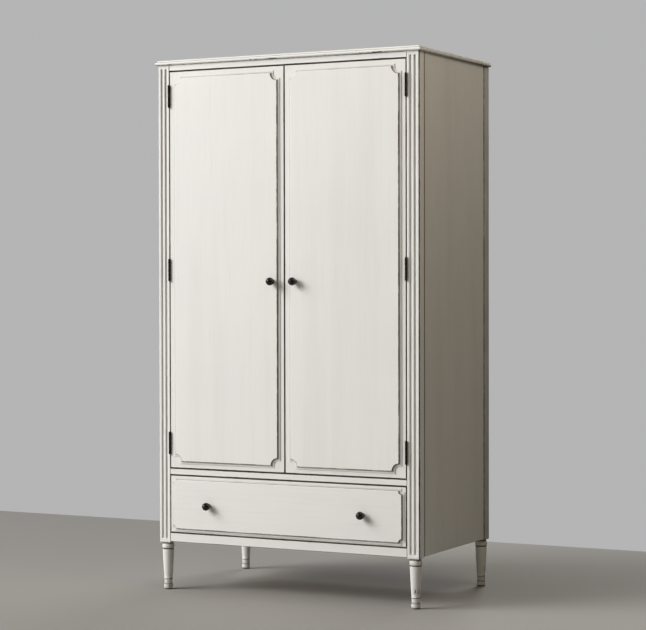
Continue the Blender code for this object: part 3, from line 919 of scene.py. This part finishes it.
def make_rod():
    """The hanging rod and its two cups."""
    low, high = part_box("hanging_rod")
    middle = (low + high) / 2
    radius = (high.z - low.z) / 2
    rod = tube("hanging_rod_tube", radius, radius - 0.0015, low.x, high.x, 48)
    rod.rotation_euler = (0, math.pi / 2, 0)
    rod.location = (0, middle.y, middle.z)
    settle(rod, "hanging_rod_tube")
    hand_over(rod, ROD_STEEL, "carcass", "hanging_rod")
    bore = radius + 0.0005
    for side, sign in SIDES:
        node = f"{side}_rod_socket"
        low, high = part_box(node)
        rim = (high.z - low.z) / 2
        deep = high.x - low.x
        cup = turned(node, [(rim * 0.995, 0.0), (rim, 0.0005), (rim, 0.0035),
                            (rim - 0.0008, 0.0045), (rim - 0.0034, deep - 0.0008),
                            (rim - 0.0042, deep), (bore + 0.0004, deep),
                            (bore, deep - 0.0004), (bore, 0.003)])
        cup.rotation_euler = (0, -sign * math.pi / 2, 0)
        cup.location = (high.x if sign > 0 else low.x, middle.y, middle.z)
        settle(cup, f"{node}_cup")
        hand_over(cup, ROD_STEEL, "carcass", node)


def make_catches():
    """Magnetic catches with two steel poles, and the strike plates that they hold."""
    for side, _ in SIDES:
        low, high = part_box(f"{side}_door_catch")
        parts = [block("catch", low, high)]
        ease(parts[0], 0.0012)
        for edge in (0.25, 0.75):
            level = low.z + 0.006 + 0.010 * edge
            parts.append(block("pole", (low.x + 0.004, low.y - 0.0002, level - 0.001),
                               (high.x - 0.004, low.y + 0.002, level + 0.001)))
        catch = join(parts, f"{side}_door_catch_magnet")
        smooth(catch, 30)
        hand_over(catch, MATT_BLACK, "carcass", f"{side}_door_catch")
        low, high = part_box(f"{side}_door_strike")
        strike = block(f"{side}_door_strike_plate", low, high)
        ease(strike, 0.0003)
        smooth(strike, 30)
        hand_over(strike, ROD_STEEL, f"{side}_door", f"{side}_door_strike")


INSIDE_BOARDS = (("carcass", X, "cabinet_floor"), ("carcass", X, "hat_shelf"),
                 ("carcass", X, "back_top_rail"), ("carcass", X, "back_bottom_rail"),
                 ("carcass", Y, "left_drawer_runner"), ("carcass", Y, "right_drawer_runner"),
                 ("drawer", Y, "drawer_left_side"), ("drawer", Y, "drawer_right_side"),
                 ("drawer", X, "drawer_back"), ("drawer", X, "drawer_bottom"))


def make_inside_boards():
    """The sealed boards inside, copied from the frame and eased along their edges."""
    for body, grain, node in INSIDE_BOARDS:
        board = bpy.data.objects.new(f"{node}_eased", frame["nodes"][node].data.copy())
        bpy.context.collection.objects.link(board)
        with editing(board):
            bpy.ops.mesh.select_all(action="SELECT")
            bpy.ops.mesh.remove_doubles(threshold=TOUCHING)
            bpy.ops.mesh.dissolve_limited(angle_limit=math.radians(1))
        ease_sharp(board, 0.0008)
        smooth(board, 30)
        hand_over(board, WOOD[grain], body, node)


# ---------------------------------------------------------------- stage, light and camera


def make_stage():
    """A plain pale floor that reaches a little way behind the armoire."""
    reach_back = 1.1
    size = 14.0
    floor = sheet("studio_floor", (0, REAR + reach_back - size / 2, -0.0005), size, size)
    pale = Finish("pale_floor", (0.34, 0.328, 0.31), 0.7)
    floor.data.materials.append(pale.material)


WINDOW, WINDOW_COLOUR = (-6.4, -5.4, 5.0), (1.0, 0.997, 0.992)
WARM_COLOUR, BACK_COLOUR = (1.0, 0.86, 0.64), (1.0, 0.99, 0.97)


def make_light(name, place, target, size, power, colour, in_gloss=True):
    """A rectangular lamp turned to its target; it may be left out of glossy reflections."""
    lamp = bpy.data.lights.new(name, "AREA")
    lamp.shape = "RECTANGLE"
    lamp.size, lamp.size_y = size
    lamp.energy = power
    lamp.color = colour
    obj = bpy.data.objects.new(name, lamp)
    bpy.context.collection.objects.link(obj)
    obj.visible_glossy = in_gloss
    obj.location = place
    obj.rotation_euler = (Vector(target) - Vector(place)).to_track_quat("-Z", "Y").to_euler()


def make_lights():
    """Soft daylight from the upper left, a low warm fill from the upper right and one behind."""
    front_middle, rear_middle = (0, FRONT, 1.0), (0, REAR, 1.0)
    make_light("window_light", WINDOW, front_middle, (4.6, 4.6), 640, WINDOW_COLOUR)
    make_light("broad_daylight", WINDOW, front_middle, (9.5, 7.0), 610, WINDOW_COLOUR,
               in_gloss=False)
    make_light("warm_fill", (2.0, -0.8, 3.2), (HALF_WIDTH, 0, 1.4), (1.2, 1.2), 19, WARM_COLOUR)
    make_light("back_light", (0.0, 5.5, 3.2), rear_middle, (3.0, 3.0), 120, BACK_COLOUR)
    world = bpy.data.worlds.new("studio")
    world.use_nodes = True
    nodes, links = world.node_tree.nodes, world.node_tree.links
    wall_grey, soft_grey = (0.46, 0.46, 0.465, 1), (0.040, 0.039, 0.037, 1)
    seen = nodes.new("ShaderNodeLightPath").outputs["Is Camera Ray"]
    mix = nodes.new("ShaderNodeMix")
    mix.data_type = "RGBA"
    mix.inputs[6].default_value = soft_grey
    mix.inputs[7].default_value = wall_grey
    links.new(seen, mix.inputs[0])
    links.new(mix.outputs[2], nodes["Background"].inputs["Color"])
    bpy.context.scene.world = world
    bpy.context.scene.view_settings.view_transform = "Standard"


def make_camera():
    """The camera stands to the right of the doors, level with the hanging space."""
    camera = bpy.data.cameras.new("camera")
    camera.lens = 110.6
    camera.sensor_width = 36.0
    obj = bpy.data.objects.new("camera", camera)
    bpy.context.collection.objects.link(obj)
    obj.location = (3.218, -6.2024, 1.082)
    azimuth, pitch, roll = (math.radians(angle) for angle in (27.40, -0.971, -0.108))
    obj.rotation_mode = "QUATERNION"
    aim = Matrix.Rotation(azimuth, 3, "Z") @ Matrix.Rotation(math.pi / 2 + pitch, 3, "X")
    obj.rotation_quaternion = (aim @ Matrix.Rotation(roll, 3, "Z")).to_quaternion()
    bpy.context.scene.camera = obj


make_camera()
make_stage()
make_lights()
make_boards()
make_side_panels()
make_front_posts()
make_top_board()
make_raised_panels()
make_legs()
make_knobs()
make_hinges()
make_rod()
make_catches()
make_inside_boards()
